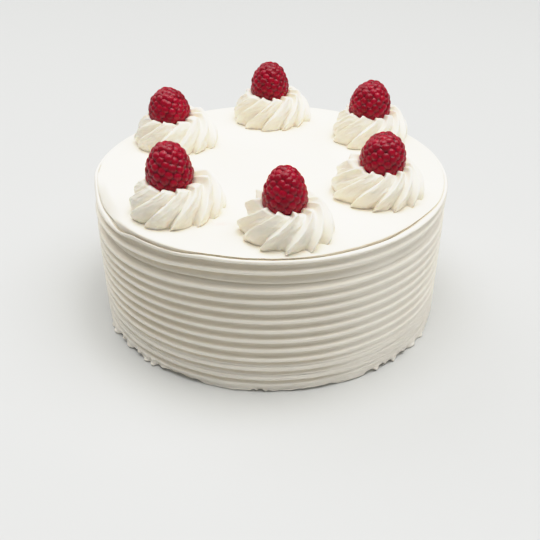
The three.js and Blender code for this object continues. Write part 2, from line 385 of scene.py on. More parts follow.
def carried_value(tree, name):
    """A value that the mesh carries under that name."""
    return Value(tree, add(tree, "ShaderNodeAttribute", attribute_name=name).outputs["Fac"])


def blend(tree, first, second, share):
    """first where share is 0, second where it is 1, as colours."""
    node = add(tree, "ShaderNodeMix", data_type="RGBA")
    colours = [s for s in node.inputs if s.enabled and s.name in ("A", "B")]
    plug(tree, next(s for s in node.inputs if s.enabled and s.name == "Factor"), share)
    for socket, colour in zip(colours, (first, second)):
        plug(tree, socket, (*colour, 1.0) if isinstance(colour, tuple) else colour)
    return Value(tree, next(s for s in node.outputs if s.enabled))


def emboss(tree, shader, height, strength, depth):
    """Lays a fine relief over the one that the shader has already, if any."""
    bump = add(tree, "ShaderNodeBump", {"Height": height, "Strength": strength, "Distance": depth})
    for under in [link.from_socket for link in shader.inputs["Normal"].links]:
        tree.links.new(under, bump.inputs["Normal"])
    tree.links.new(bump.outputs["Normal"], shader.inputs["Normal"])


def grain_into(tree, shader, place, size, strength, depth):
    """Places the grain group and feeds its height to the shader. Gives its tone."""
    grain = tree.nodes.new("ShaderNodeGroup")
    grain.node_tree = WHIPPED_GRAIN
    plug(tree, grain.inputs["Place"], place)
    plug(tree, grain.inputs["Grain Size"], size)
    emboss(tree, shader, grain.outputs["Height"], strength, depth)
    return Value(tree, grain.outputs["Tone"])


# %% [markdown]
# The icing gets three close finishes: one for the combed side, one for the smooth top, and one for the
# piped cream. Each mixes an open colour and a darker hollow colour, which is painted shade, by how hollow
# its mesh says each point is.
# Light goes deeper into the airy cream than into the icing.

# %% Icing and cream
WARM_GLOW = (1.0, 0.8, 0.55)
HOLLOW_SHADE_SHARE = 0.75
PATCH_SHARE = 0.5


def icing_finish(name, open_colour, hollow_shade_colour, roughness, grain_size, grain_depth, glow, glow_depth):
    material, tree, shader, place = new_finish(
        name, Roughness=roughness, IOR=1.42, Subsurface_Weight=glow,
        Subsurface_Radius=WARM_GLOW, Subsurface_Scale=glow_depth)
    tone = grain_into(tree, shader, place, grain_size, 0.5, grain_depth)
    # Painted shade: the hollow colour comes in where the mesh is hollow, beside random patches of tone.
    hollow_shade = carried_value(tree, "hollow_shade")
    share = (hollow_shade * HOLLOW_SHADE_SHARE + (tone - 0.5) * PATCH_SHARE).most(0.0).least(1.0)
    colour = blend(tree, open_colour, hollow_shade_colour, share)
    plug(tree, shader.inputs["Base Color"], colour)
    return material, tree, shader, place, colour


def combed_finish():
    """Icing with the fine streaks that the comb drew along the ridges, stronger low down."""
    # The second colour is painted shade, for the ridges' recesses and the seam's groove.
    material, tree, shader, place, _ = icing_finish(
        "Combed icing", (0.965, 0.91, 0.805), (0.80, 0.735, 0.61), 0.5, 0.7 * MM, 0.10 * MM, 0.08, 0.6 * MM)
    level = carried_value(tree, "level")
    x, y = x_and_y(place)

    def lumps(width, height, seed):
        """Noise with lumps of that width and height, in rows that bend with the ridges."""
        return noise(vector(tree, x / width, y / width, level / height), seed)

    low = 1.0 - ramp(level, 8 * MM, 24 * MM)
    streaks = lumps(5 * MM, 0.55 * MM, 1.0) * (0.5 + low)
    crumbs = ramp(lumps(0.9 * MM, 0.8 * MM, 2.0), 0.4, 1.5) * 0.8
    emboss(tree, shader, streaks + crumbs, 1.0, 0.13 * MM)
    return material


COMBED_ICING = combed_finish()
# The second colour is a warm painted shade, for the grooves, the foot and the cup.
PIPED_CREAM = icing_finish("Piped cream", (0.955, 0.897, 0.79), (0.945, 0.84, 0.64), 0.42,
                           0.8 * MM, 0.06 * MM, 0.4, 1.5 * MM)[0]

# %% [markdown]
# The smooth top has one tiny mark of its own: a pale pink smear of juice in front of the left rosettes.

# %% The smooth top, with its smear of juice
SMEAR_PLACE = (-22.5 * MM, -58.0 * MM, TOP)
SMEAR_SIZE = 2.6 * MM
# Distances across count for less, so the smear is longer from left to right than it is deep.
SMEAR_NARROWING = (0.45, 1.0, 1.0)


def smooth_top_finish():
    # The second colour is painted shade, along the seam's lip.
    material, tree, shader, place, colour = icing_finish(
        "Smoothed icing", (0.94, 0.885, 0.765), (0.80, 0.75, 0.66), 0.45, 1.0 * MM, 0.05 * MM,
        0.2, 1.2 * MM)
    offset = vector_math("MULTIPLY", vector_math("SUBTRACT", place, SMEAR_PLACE), SMEAR_NARROWING)
    ragged = result(tree, "ShaderNodeTexNoise", {"Vector": place, "Scale": 900.0, "Detail": 3.0})
    distance = vector_math("LENGTH", offset) / SMEAR_SIZE + (ragged - 0.5) * 1.6
    smear = (1.0 - ramp(distance, 0.1, 1.0)) * 0.45
    plug(tree, shader.inputs["Base Color"], blend(tree, colour, (0.90, 0.66, 0.60), smear))
    return material


SMOOTHED_ICING = smooth_top_finish()

# %% [markdown]
# A raspberry is a cluster of small juicy beads. The skin of each is thin and softly glossy, and the juice
# under it is deep red. The colour is painted nearly black towards the creases between beads, as painted
# shade. The mesh carries "crease", from 0 in the middle of a bead to 1 where two beads meet, and "bead", a
# number of its own for each bead.

# %% Raspberry skin
def raspberry_finish():
    material, tree, shader, place = new_finish(
        "Raspberry skin", Roughness=0.2, IOR=1.4, Subsurface_Weight=0.4,
        Subsurface_Radius=(1.0, 0.06, 0.08), Subsurface_Scale=0.8 * MM, Specular_IOR_Level=0.38)
    crease = carried_value(tree, "crease")
    bead = carried_value(tree, "bead")
    ripe = blend(tree, (0.41, 0.0012, 0.022), (0.27, 0.0008, 0.013), bead)
    # Painted shade: the colour darkens towards the creases between beads.
    crease_shade = ramp(crease, 0.65, 1.05)
    colour = blend(tree, ripe, (0.08, 0.0006, 0.005), crease_shade * 0.6)
    speckle = result(tree, "ShaderNodeTexNoise", {"Vector": place, "Scale": 1500.0, "Detail": 4.0})
    bloom = ramp(speckle, 0.45, 0.8) * (1.0 - crease_shade) * 0.03
    plug(tree, shader.inputs["Base Color"], blend(tree, colour, (0.72, 0.22, 0.30), bloom))
    plug(tree, shader.inputs["Roughness"], speckle * 0.12 + 0.09)
    emboss(tree, shader, speckle, 0.2, 0.06 * MM)
    return material


RASPBERRY_SKIN = raspberry_finish()
print("finishes:", [m.name for m in (COMBED_ICING, SMOOTHED_ICING, PIPED_CREAM, RASPBERRY_SKIN)])

# %% [markdown]
# ## The combed side
#
# On the real cake a comb with square teeth scraped the icing while the cake turned. Each gap between two
# teeth left a ridge: a nose with an upright face, a sharp step in below it, a hollow band as wide as a
# tooth, and a short ledge on top that leads in again. One such section, repeated up the wall, makes the
# profile. The two lowest ridges are broader and carry one fine line more, and over the last ridge comes a
# cove, and then the bead of the rim, which is part of the side's icing.

# %% The section of one ridge, and the profile of the side
RIDGE_COUNT = 13
FIRST_RIDGE = 2.75 * MM
RIDGE_PITCH = 5.42 * MM
LAST_RIDGE = 66.2 * MM
RIDGE_DEPTH = 2.5 * MM
WALL_TAPER = 1.1 * MM
FAINT_RIDGE = 11
BROAD_RIDGES = (1, 2)

# Up a ridge: the height in millimetres from its nose, and the depth as a share. The hollow band and the
# step are the same under plain and broad ridges.
STEP_SECTION = [(-2.44, 0.97), (-1.62, 1.00), (-1.30, 0.95), (-1.22, 0.14), (-1.13, 0.02), (-1.00, 0.0)]
RIDGE_SECTION = STEP_SECTION + [
    (-0.40, 0.02), (0.12, 0.06), (0.36, 0.15), (0.52, 0.32), (0.68, 0.54), (0.92, 0.78), (1.40, 0.95),
]
BROAD_SECTION = STEP_SECTION + [
    (-0.40, 0.04), (0.20, 0.09), (0.75, 0.20), (1.05, 0.44), (1.32, 0.24), (1.75, 0.28), (2.15, 0.50),
    (2.50, 0.76), (2.95, 0.94),
]
# The faint ridge lies back, and leans in as it rises.
FAINT_SECTION = [
    (-3.60, 0.98), (-3.10, 1.40), (-2.66, 1.40), (-2.56, 1.15), (-2.42, 0.92), (-2.20, 0.86),
    (-1.40, 0.93), (-0.60, 1.08), (0.05, 1.30), (0.60, 1.50),
]
# The last ridge is round, and overhangs a deep recess.
LAST_SECTION = [
    (-1.95, 1.55), (-1.40, 1.40), (-1.18, 0.70), (-0.98, 0.34), (-0.65, 0.14), (-0.22, 0.03), (0.25, 0.0),
    (0.62, 0.04), (0.95, 0.12), (1.16, 0.28), (1.32, 0.50), (1.56, 0.74), (2.00, 0.92),
]
# The cake stands on a disc that ends this far inside the wall, and round it goes the torn hem. Up the
# hem: the height and the way in, both in millimetres, and the shares of its sticking out and lifting.
STANDING_INSET = 3.4 * MM
HEM_SECTION = [(0.45, 1.6, 0.35, 0.9), (0.12, 0.9, 0.7, 1.0), (0.2, 0.25, 1.0, 1.0), (0.6, 0.0, 1.0, 0.8),
               (0.95, 0.0, 0.9, 0.55)]
# Up to this height the lowest ridge still follows the hem.
HEM_REACH = 4.6 * MM
# From the board to the second ridge: the height in millimetres, and the depth.
FOOT_SECTION = [(1.3, 0.22), (2.0, 0.13), (3.0, 0.04), (3.8, 0.04), (4.3, 0.14), (4.7, 0.38),
                (5.1, 0.68), (5.5, 0.9)]
# The cove and the underside of the bead: the height, the depth, and how far it is bead already.
COVE_SECTION = [(68.85, 1.00, 0.0), (69.35, 1.10, 0.0), (69.8, 1.12, 0.05), (70.15, 1.0, 0.15),
                (70.42, 0.68, 0.35), (70.7, 0.38, 0.55), (71.0, 0.16, 0.75), (71.4, 0.03, 0.9),
                (71.9, 0.02, 1.0), (72.35, 0.13, 1.0)]
# Over the bead to the seam: the way across as a share, the fall from its crest, and the groove.
BEAD_WIDTH = 1.9 * MM
BEAD_CREST = 72.8 * MM
BEAD_SECTION = [(0.28, 0.16, 0.0), (0.46, 0.03, 0.05), (0.62, 0.0, 0.22), (0.78, 0.0, 0.6),
                (0.91, 0.0, 1.0), (1.0, 0.0, 1.3), (1.12, 0.0, 1.5), (1.8, 0.0, 1.7)]
# Out of sight under the top coat, the side's icing runs level to the axis.
COVERED_RADIUS = 82 * MM
COVERED_HEIGHT = TOP - 2.2 * MM


def wall_radius(height):
    return RIM_RADIUS - WALL_TAPER * (1 - height / TOP)


def ridge_points():
    """The points of all ridges, as (height, depth share, number of the ridge)."""
    points = [(height * MM, depth, 0) for height, depth in FOOT_SECTION]
    for ridge in range(1, RIDGE_COUNT):
        section = BROAD_SECTION if ridge in BROAD_RIDGES else RIDGE_SECTION
        nose = FIRST_RIDGE + ridge * RIDGE_PITCH
        if ridge == FAINT_RIDGE:
            section = FAINT_SECTION
        if ridge == RIDGE_COUNT - 1:
            section = LAST_SECTION
            nose = LAST_RIDGE
        for above, share in section:
            height = nose + above * MM
            if height > points[-1][0] + 0.1 * MM:
                points.append((height, share, ridge))
    return points


def side_rows():
    plain = {"depth": 0.0, "ridge": 0.0, "comb": 0.0, "hem": 0.0, "edge": 0.0, "tilt": 0.0, "bead": 0.0,
             "across": 0.0, "groove": 0.0}
    foot = wall_radius(0)
    rows = [row_of(0.0, 0.0, **plain), row_of(foot - STANDING_INSET, 0.0, **plain),
            row_of(foot - STANDING_INSET + 0.4 * MM, 0.5 * MM, **plain)]
    for height, inset, hem, edge in HEM_SECTION:
        rows.append(row_of(foot - inset * MM, height * MM, **{**plain, "hem": hem, "edge": edge}))
    for height, depth, ridge in ridge_points():
        low = max(0.0, 1 - height / HEM_REACH)
        rows.append(row_of(wall_radius(height), height, **{
            **plain, "depth": depth * RIDGE_DEPTH, "ridge": float(ridge), "comb": 1.0,
            "hem": 0.85 * low, "edge": 0.5 * low, "tilt": height / LAST_RIDGE}))
    for height, depth, bead in COVE_SECTION:
        rows.append(row_of(wall_radius(height * MM), height * MM, **{
            **plain, "depth": depth * RIDGE_DEPTH, "ridge": float(RIDGE_COUNT), "comb": 1.0 - bead,
            "tilt": (1 - bead) * height * MM / LAST_RIDGE, "bead": bead}))
    for across, fall, groove in BEAD_SECTION:
        rows.append(row_of(RIM_RADIUS, BEAD_CREST - fall * MM, **{
            **plain, "across": across, "groove": groove * MM, "bead": 1.0}))
    rows.append(row_of(COVERED_RADIUS, COVERED_HEIGHT, **{**plain, "bead": 0.6}))
    rows.append(row_of(0.0, COVERED_HEIGHT, **plain))
    return rows


print(f"the profile of the side has {len(side_rows())} points")

# %% [markdown]
# The hand that held the comb sank towards the left, so the ridges tilt down there, the more the higher
# they lie. The bead sinks with them, and the sheet of icing on the top hangs over it. At the far left the
# edge slumped: there sheet and bead run together into one soft round shoulder. The seam between the two
# wanders round the rim. Side and top both need that line.

# %% The tilt of the ridges and the line of the seam
SEAM_RADIUS = 88.2 * MM
TILT_LEFT = 6.6 * MM
TILT_RIGHT = 1.0 * MM
RIM_SEED = 9.0

# Each place is a direction in degrees right of the front, a half width in degrees, and an amount.
RIDGE_DIP = [(-44, 22, 0.9)]
BEAD_FALL = [(-65, 22, 4.6), (-38, 20, 1.5)]
SLUMPED_EDGE = [(-70, 20, 1.0)]
SEAM_SHIFT = [(-38, 24, 0.9), (37, 30, -1.6), (-70, 20, -0.8)]
SEAM_OPENING = [(-40, 18, 0.7), (26, 18, 1.0), (43, 12, 0.6), (-76, 24, -0.9)]
# The slumped shoulder: the heights where it begins and where it is full, and how far it draws in.
SLUMP_START = 69.5 * MM
SLUMP_END = 73 * MM
SLUMP_INSET = 1.3 * MM


def tilt_of_ridges(wheel):
    """How far the highest ridge lies below its level."""
    return wheel.facing(-95) ** 2.0 * TILT_LEFT - wheel.facing(95) ** 2.0 * TILT_RIGHT


def dip_of_ridges(wheel):
    """How far the highest ridge dips where the comb gave way, besides its tilt."""
    return wheel.spread(RIDGE_DIP) * MM


def fall_of_bead(wheel):
    """How far the bead, and the sheet's edge with it, lies below its level."""
    return wheel.spread(BEAD_FALL) * MM


def slump(wheel):
    """1 where the edge slumped into a round shoulder."""
    return wheel.spread(SLUMPED_EDGE)


def line_of_seam(wheel):
    """The radius of the seam, which wanders, and runs farther in on the right."""
    wander = wheel.around(20, 0.0, RIM_SEED) * 0.28 + wheel.around(75, 0.0, RIM_SEED + 1) * 0.13
    return (wheel.spread(SEAM_SHIFT) + wander) * MM + SEAM_RADIUS


def depth_of_seam(wheel):
    """1 and more where the seam is open, and less where the spatula closed it."""
    by_chance = wheel.around(11, 0.0, RIM_SEED + 2) * 0.16 + 0.36
    return (by_chance + wheel.spread(SEAM_OPENING)).most(0.0)


# %% [markdown]
# The foot is the roughest part. Where the comb left the board, icing tore: here it lifts off and shows a
# dark gap, there it sticks out as a tuft. The gaps and tufts in front lie where the real ones do. Low on
# the right the comb hardly touched, so the ridges fade out there.

# %% Gaps, tufts and worn patches, by their direction in degrees right of the front
HEM_GAPS = [  # direction, half width, height in millimetres
    (-57.5, 4.0, 2.1), (-48.5, 3.2, 2.6), (-33.0, 7.0, 1.7), (-26.0, 5.5, 1.3), (-5.2, 0.9, 1.2),
    (-2.9, 1.2, 1.4), (-0.4, 0.8, 0.9), (11.0, 5.5, 0.8), (17.5, 4.0, 0.9), (33.0, 2.6, 1.8),
    (37.6, 1.8, 2.4), (41.3, 1.3, 2.2), (46.8, 3.0, 2.6), (-95.0, 8.0, 1.6), (-128.0, 5.0, 1.9),
    (-160.0, 9.0, 1.2), (95.0, 6.0, 1.4), (118.0, 3.0, 2.0), (140.0, 7.0, 1.5), (171.0, 4.0, 1.8),
]
HEM_TUFTS = [  # direction, half width, how far it sticks out in millimetres
    (-66.5, 1.6, 1.1), (-62.8, 2.2, 1.8), (-57.0, 1.2, 1.0), (-53.0, 1.6, 1.3), (-47.0, 1.1, 1.2),
    (-43.4, 1.6, 1.9), (-40.2, 1.4, 2.1), (-36.0, 1.0, 0.9), (35.4, 1.2, 0.9), (43.2, 1.2, 1.1),
    (48.5, 1.2, 0.9), (53.4, 2.6, 1.5), (60.0, 1.5, 1.0), (-110.0, 2.5, 1.5), (-143.0, 2.0, 1.3),
    (105.0, 2.4, 1.4), (129.0, 1.8, 1.2), (158.0, 2.2, 1.4),
]
PRESSURE_OF_COMB = [(58, 46, -0.6), (24, 22, -0.16), (-35, 36, 0.18), (-78, 34, 0.3)]
WORN_PATCH = [(42, 30, 0.86)]
WORN_HEIGHT = 27 * MM
FLAKY_PATCH = [(-56, 16, 0.5)]
FLAKY_HEIGHT = 15 * MM
SIDE_COLUMNS = 508


# %% The tree of the combed side
def comb_strength(wheel, height, ridge, seed):
    """How deep the comb went: less on the right, worn out low on the right, uneven everywhere."""
    low_down = 1.0 - ramp(height, 0.3 * WORN_HEIGHT, WORN_HEIGHT)
    worn = wheel.spread(WORN_PATCH) * low_down
    flaky = wheel.spread(FLAKY_PATCH) * (1.0 - ramp(height, 0.6 * FLAKY_HEIGHT, FLAKY_HEIGHT))
    pressure = wheel.spread(PRESSURE_OF_COMB) - low_down * 0.12 + 1.0
    uneven = wheel.around(11, ridge * 1.7, seed) * 0.14 + 1.0
    return uneven * (1.0 - worn) * (1.0 - flaky) * pressure


def combed_side_tree():
    tree, size = new_tree("Combed side", {
        "Columns": SIDE_COLUMNS, "Sway": 0.2 * MM, "Streaks": 0.06 * MM, "Nicks": 0.65 * MM,
        "Hem roughness": 1.3 * MM, "Seed": 3.0})
    wheel = Wheel(tree, size["Geometry"], size["Columns"])
    seed = size["Seed"]
    height = wheel.carried("height")
    depth = wheel.carried("depth")
    ridge = wheel.carried("ridge")
    comb = wheel.carried("comb")
    hem = wheel.carried("hem")
    edge = wheel.carried("edge")
    bead = wheel.carried("bead")

    # Two slow waves that all ridges share, and a little unevenness of each ridge's own.
    waves = (wheel.angle * 3 + 0.8).math("SINE") * 0.6 + (wheel.angle * 5 + 2.1).math("SINE") * 0.4
    wander = wheel.around(30, ridge * 3.1, seed) * 0.45
    lifted = comb * (1.0 - hem) * size["Sway"] * (waves + wander)
    tilt = wheel.carried("tilt")
    sunk = tilt * tilt_of_ridges(wheel) + tilt ** 3.0 * dip_of_ridges(wheel) + bead * fall_of_bead(wheel)
    narrow = ((RIM_RADIUS - line_of_seam(wheel)) / BEAD_WIDTH).least(1.0)
    round_bead = (1.0 - wheel.bump(-80, 42) * 0.4) * mix(1.0, narrow, ramp(bead, 0.9, 1.0))
    strength = mix(comb_strength(wheel, height, ridge, seed + 1), round_bead, bead)

    # Fine streaks along the ridges, stronger low down, and nicks in the ridges' edges.
    low = 1.0 - ramp(height, 6 * MM, 22 * MM)
    streaks = wheel.around(22, height / (0.8 * MM), seed + 2) * (1.0 + 4.5 * low) * size["Streaks"]
    nose = 1.0 - ramp(depth, 0.1 * RIDGE_DEPTH, 0.7 * RIDGE_DEPTH)
    tears = ramp(wheel.around(190, height / (1.6 * MM), seed + 3), 0.4, 1.3)
    rough_places = ramp(wheel.around(12, ridge * 2.3, seed + 4), -0.2, 0.8)
    nicks = nose * tears * rough_places * size["Nicks"]

    # The torn hem.
    raggedness = wheel.around(46, 0.0, seed + 5) * 0.6 + wheel.around(150, height / MM, seed + 6) * 0.45
    torn = 1.0 + 0.5 * wheel.around(170, 0.0, seed + 7)
    out = hem * (raggedness * size["Hem roughness"] - 0.25 * MM + wheel.spread(HEM_TUFTS) * MM)
    up = edge * wheel.spread(HEM_GAPS) * MM * torn

    # The bead, from the rim across to the seam, and the shoulder where the edge slumped.
    across = wheel.carried("across")
    inward = across * (RIM_RADIUS - line_of_seam(wheel))
    groove = wheel.carried("groove") * depth_of_seam(wheel)
    rim_lumps = bead * wheel.around(40, height / (2 * MM), seed + 8) * 0.12 * MM
    shoulder = slump(wheel) * ramp(height, SLUMP_START, SLUMP_END) * (1.0 - across).most(0.0) * SLUMP_INSET

    radius = wheel.carried("radius") - depth * strength - comb * (streaks + nicks) + out - inward
    radius = radius - rim_lumps * (1.0 - across) - shoulder
    place = vector(tree, wheel.angle.math("COSINE") * radius, wheel.angle.math("SINE") * radius,
                   height + lifted + up - sunk - groove)
    # Painted shade: the finish darkens the ridges' recesses and the seam's groove by this value.
    hollow_shade = depth / RIDGE_DEPTH * strength.least(1.0) + groove / MM * 0.4
    return finish_tree(tree, wheel.grid, place, COMBED_ICING, {"hollow_shade": hollow_shade, "level": height})


icing_side = grow("icing_side", side_rows(), combed_side_tree(), {})

# %% [markdown]
# ## The smooth top
#
# The top coat was spread last, as a sheet that ends in a thin lip at the seam. The lip is undercut, so a
# line of shade runs along the seam, and its finish paints more shade there. On the left of the front the
# lip hangs down over the bead. The rest is flat, with broad, very shallow strokes of the spatula.

# %% The profile of the top coat
# The lip: the way in from the seam, the depth under the top, and how far it hangs down with the bead.
HIDDEN_LIP = [(2.0, 2.9, 1.0), (1.4, 2.7, 1.0), (1.1, 2.4, 1.0)]
LIP_SECTION = [(0.9, 1.75, 0.97), (0.75, 1.35, 0.92), (0.48, 0.98, 0.72), (0.24, 0.68, 0.40),
               (0.14, 0.46, 0.24), (0.32, 0.25, 0.14), (0.8, 0.10, 0.06), (1.6, 0.03, 0.02)]
# Where the edge slumped, the sheet rounds off over SHOULDER_WIDTH and has points at these insets. They
# and the inset where the flat part begins are millimetres in from the seam.
SHOULDER_WIDTH = 5.6
SHOULDER_INSETS = (3.2, 4.1, 5.0)
FIRST_FLAT_INSET = 5.8
# The flat part follows the wander of the seam over its first few millimetres.
WANDER_REACH = 9 * MM
# The hidden underside of the sheet.
COAT_UNDERSIDE = TOP - 3.5 * MM
COAT_UNDERSIDE_RADIUS = 80 * MM
# The strokes of the spatula: their length and width, and how gently they bow.
STROKE_LENGTH = 28 * MM
STROKE_WIDTH = 6 * MM
STROKE_BOW = 900 * MM * MM
TOP_ROWS = 32
TOP_COLUMNS = 580


def top_rows():
    plain = {"rim": 0.0, "hang": 0.0, "round": 0.0, "dip": 0.0, "flat": 0.0, "hollow_shade": 0.0}
    rows = [row_of(0.0, COAT_UNDERSIDE, **plain), row_of(COAT_UNDERSIDE_RADIUS, COAT_UNDERSIDE, **plain)]
    # The rows of the lip carry the share of painted shade that the finish gives them.
    for inset, below, hang in HIDDEN_LIP:
        rows.append(row_of(SEAM_RADIUS - inset * MM, TOP - below * MM, **{
            **plain, "rim": 1.0, "hang": hang, "round": hang, "hollow_shade": 1.0}))
    for inset, dip, hang in LIP_SECTION:
        rows.append(row_of(SEAM_RADIUS - inset * MM, TOP, **{
            **plain, "rim": 1.0, "hang": hang, "round": (1 - inset / SHOULDER_WIDTH) ** 1.6,
            "dip": dip * MM, "hollow_shade": min(1.0, 1.1 * dip)}))
    for inset in SHOULDER_INSETS:
        rows.append(row_of(SEAM_RADIUS - inset * MM, TOP, **{
            **plain, "rim": 1.0, "round": (1 - inset / SHOULDER_WIDTH) ** 1.6}))
    first = SEAM_RADIUS - FIRST_FLAT_INSET * MM
    for step in range(TOP_ROWS):
        share = step / (TOP_ROWS - 1)
        radius = first * (1 - share)
        near = max(0.0, 1 - (first - radius) / WANDER_REACH)
        rows.append(row_of(radius, TOP, **{**plain, "rim": near, "flat": min(1.0, 4 * share)}))
    return rows


# %% The tree of the top coat
def smooth_top_tree():
    tree, size = new_tree("Smooth top", {"Columns": TOP_COLUMNS, "Strokes": 0.10 * MM, "Seed": 30.0})
    wheel = Wheel(tree, size["Geometry"], size["Columns"])
    seed = size["Seed"]
    rim = wheel.carried("rim")
    flat = wheel.carried("flat")
    torn = wheel.around(160, 0.0, seed) * 0.08 * MM * wheel.carried("hang")
    radius = wheel.carried("radius") + rim * (line_of_seam(wheel) - SEAM_RADIUS) + torn
    swell = wheel.around(14, 0.0, seed + 3) * rim * (1.0 - flat) * 0.08 * MM

    across = wheel.angle.math("COSINE") * radius
    deep = wheel.angle.math("SINE") * radius
    bowed = deep / STROKE_WIDTH + across ** 2 / STROKE_BOW
    stroke_place = vector(tree, across / STROKE_LENGTH, bowed, 0.0)
    strokes = (flat * noise(stroke_place, seed + 4) * size["Strokes"]).math("ABSOLUTE")
    sunk = mix(wheel.carried("hang"), wheel.carried("round"), slump(wheel)) * fall_of_bead(wheel)
    sunk = sunk + wheel.carried("dip") * depth_of_seam(wheel)
    place = vector(tree, across, deep, wheel.carried("height") - sunk + swell - strokes)
    # Painted shade: the finish darkens the lip along the seam by this value, the more the seam is open.
    hollow_shade = wheel.carried("hollow_shade") * depth_of_seam(wheel).least(1.0)
    return finish_tree(tree, wheel.grid, place, SMOOTHED_ICING, {"hollow_shade": hollow_shade})


icing_top = grow("icing_top", top_rows(), smooth_top_tree(), {})

# %% [markdown]
# ## The toppings
#
# This table repeats where the solids stand: the place of each rosette, how wide it is across and from
# front to back, how many blades the piping made, how far it is turned, and its berry. "fullness" says
# whether the blades are plump or sharp, "fuller" where one side of the rosette swells out and how far,
# and "point" how blunt the berry's tip is. The print below shows each place beside the solid's middle.

# %% Where each rosette and berry stands, in millimetres and degrees
TOPPINGS = [
    dict(x=-44.5, y=-45.0, across=44.4, deep=43.0, blades=11, turned=8, fullness=0.8, fuller=(110, 0.12),
         tip=35.0, width=22.5, dx=-1.6, dy=0.0, lean=-3, point=1.75),
    dict(x=8.0, y=-67.0, across=42.6, deep=41.0, blades=11, turned=3, fullness=0.4, fuller=(-115, 0.14),
         tip=33.5, width=20.4, dx=-1.6, dy=0.0, lean=0, point=1.7),
    dict(x=53.0, y=-28.0, across=43.8, deep=42.0, blades=12, turned=14, fullness=0.6, fuller=(-100, 0.14),
         tip=31.9, width=22.5, dx=0.3, dy=0.0, lean=9, point=1.9),
    dict(x=54.5, y=40.0, across=42.4, deep=41.0, blades=11, turned=0, fullness=0.7, fuller=(120, 0.05),
         tip=32.8, width=22.9, dx=-0.6, dy=0.0, lean=7, point=1.7),
    dict(x=0.5, y=66.5, across=45.0, deep=40.0, blades=12, turned=20, fullness=0.7, fuller=(100, 0.04),
         tip=33.6, width=22.1, dx=-0.8, dy=1.4, lean=0, point=1.7),
    dict(x=-52.0, y=33.5, across=45.0, deep=42.0, blades=11, turned=11, fullness=0.8, fuller=(95, 0.08),
         tip=31.2, width=22.7, dx=-2.1, dy=0.0, lean=-6, point=1.7),
]
for number, topping in enumerate(TOPPINGS, start=1):
    low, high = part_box(f"rosette_{number}")
    middle = (low + high) / 2 / MM
    print(f"rosette_{number}: table ({topping['x']}, {topping['y']}), solid ({middle.x:.1f}, {middle.y:.1f})")

# %% [markdown]
# A raspberry is widest a little below the middle, and drawn out to a rounded tip above, like an egg. The
# cream has to know that form as well, because the blades close in on the berry and lean against it.

# %% The form of a berry, shared by the cream and the fruit
BERRY_SINK = 8 * MM
BERRY_WIDEST = 0.42


def berry_form(share, point):
    """Radius of a berry at a share of its height, as a share of its half width."""
    below = ((BERRY_WIDEST - share) / BERRY_WIDEST).most(0.0)
    above = ((share - BERRY_WIDEST) / (1 - BERRY_WIDEST)).most(0.0)
    blunt = (1.0 - below ** 2.1).most(0.0)
    pointed = (1.0 - above ** point).most(0.0)
    return (blunt * pointed).math("SQRT")


# %% [markdown]
# ## The piped rosettes
#
# Cream pressed through a closed star nozzle comes out with a blade for each slot of the star. The hand
# turns and lifts while it presses, so the blades rise straight at first and then sweep round. Each blade
# has a thin crest, falls away in a hollow flank, and ends in a groove under the crest of the next. Some
# blades are plump and some are sharp. At the crown they stand up as tips round the berry, which was
# pushed in last.

# %% The profile of a rosette: foot, flank, crown and the cup inside
FLANK_ROWS = 60
CUP_ROWS = 8


def rosette_rows():
    rows = [row_of(0.0, 0.0, share=0.0, reach=0.0, inward=0.0, down=0.0),
            row_of(0.0, 0.0, share=0.0, reach=0.72, inward=0.0, down=0.0)]
    for step in range(FLANK_ROWS + 1):
        share = (step / FLANK_ROWS) ** 1.2
        rows.append(row_of(0.0, 0.0, share=share, reach=1.0, inward=0.0, down=0.0))
    for inward, down in ((0.3, -0.03), (0.65, -0.02), (1.0, 0.04)):
        rows.append(row_of(0.0, 0.0, share=1.0, reach=1.0, inward=inward, down=down))
    for step in range(1, CUP_ROWS + 1):
        rows.append(row_of(0.0, 0.0, share=1.0, reach=1.0, inward=1.0, down=0.04 + 0.96 * step / CUP_ROWS))
    rows.append(row_of(0.0, 0.0, share=1.0, reach=0.0, inward=1.0, down=1.0))
    return rows


# %% The sections of a blade, from one crest to the next
SHARP_SECTION = [(0.0, 1.0), (0.06, 0.96), (0.13, 0.82), (0.20, 0.58), (0.29, 0.32), (0.41, 0.12),
                 (0.55, 0.02), (0.68, 0.0), (0.80, 0.07), (0.88, 0.30), (0.94, 0.68), (1.0, 1.0)]
PLUMP_SECTION = [(0.0, 1.0), (0.12, 0.98), (0.30, 0.93), (0.48, 0.82), (0.64, 0.62), (0.77, 0.34),
                 (0.86, 0.08), (0.90, 0.0), (0.95, 0.35), (1.0, 1.0)]
CROWN_HEIGHT = 16.6 * MM
CROWN_NOTCH = 3.6 * MM
SWIRL_TURN = 48 * DEGREE
POINTS_A_BLADE = 32
# How the cream meets the berry: the rise of the cup's edge, how far its floor lies under the berry, how
# thick the cream is outside the skin, how far the cup reaches into it, and the least radius of the cup.
CUP_EDGE_RISE = 8 * MM
CUP_FLOOR_GAP = 0.6 * MM
CREAM_OUTSIDE = 1.0 * MM
CUP_INSIDE = 0.7 * MM
LEAST_CUP = 5.5 * MM
# The foot of a rosette sinks a little into the top coat.
FOOT_SINK = 0.35 * MM
# Shares of a rosette's half width: how far the blades close in at the crown, how deep the grooves are
# beside sharp and plump blades, and the depth of folds, lines and tears.
CROWN_CLOSING = 0.34
SHARP_GROOVE = 0.26
PLUMP_GROOVE = 0.15
FOLD_DEPTH = 0.018
LINE_DEPTH = 0.006
TEAR_DEPTH = 0.025


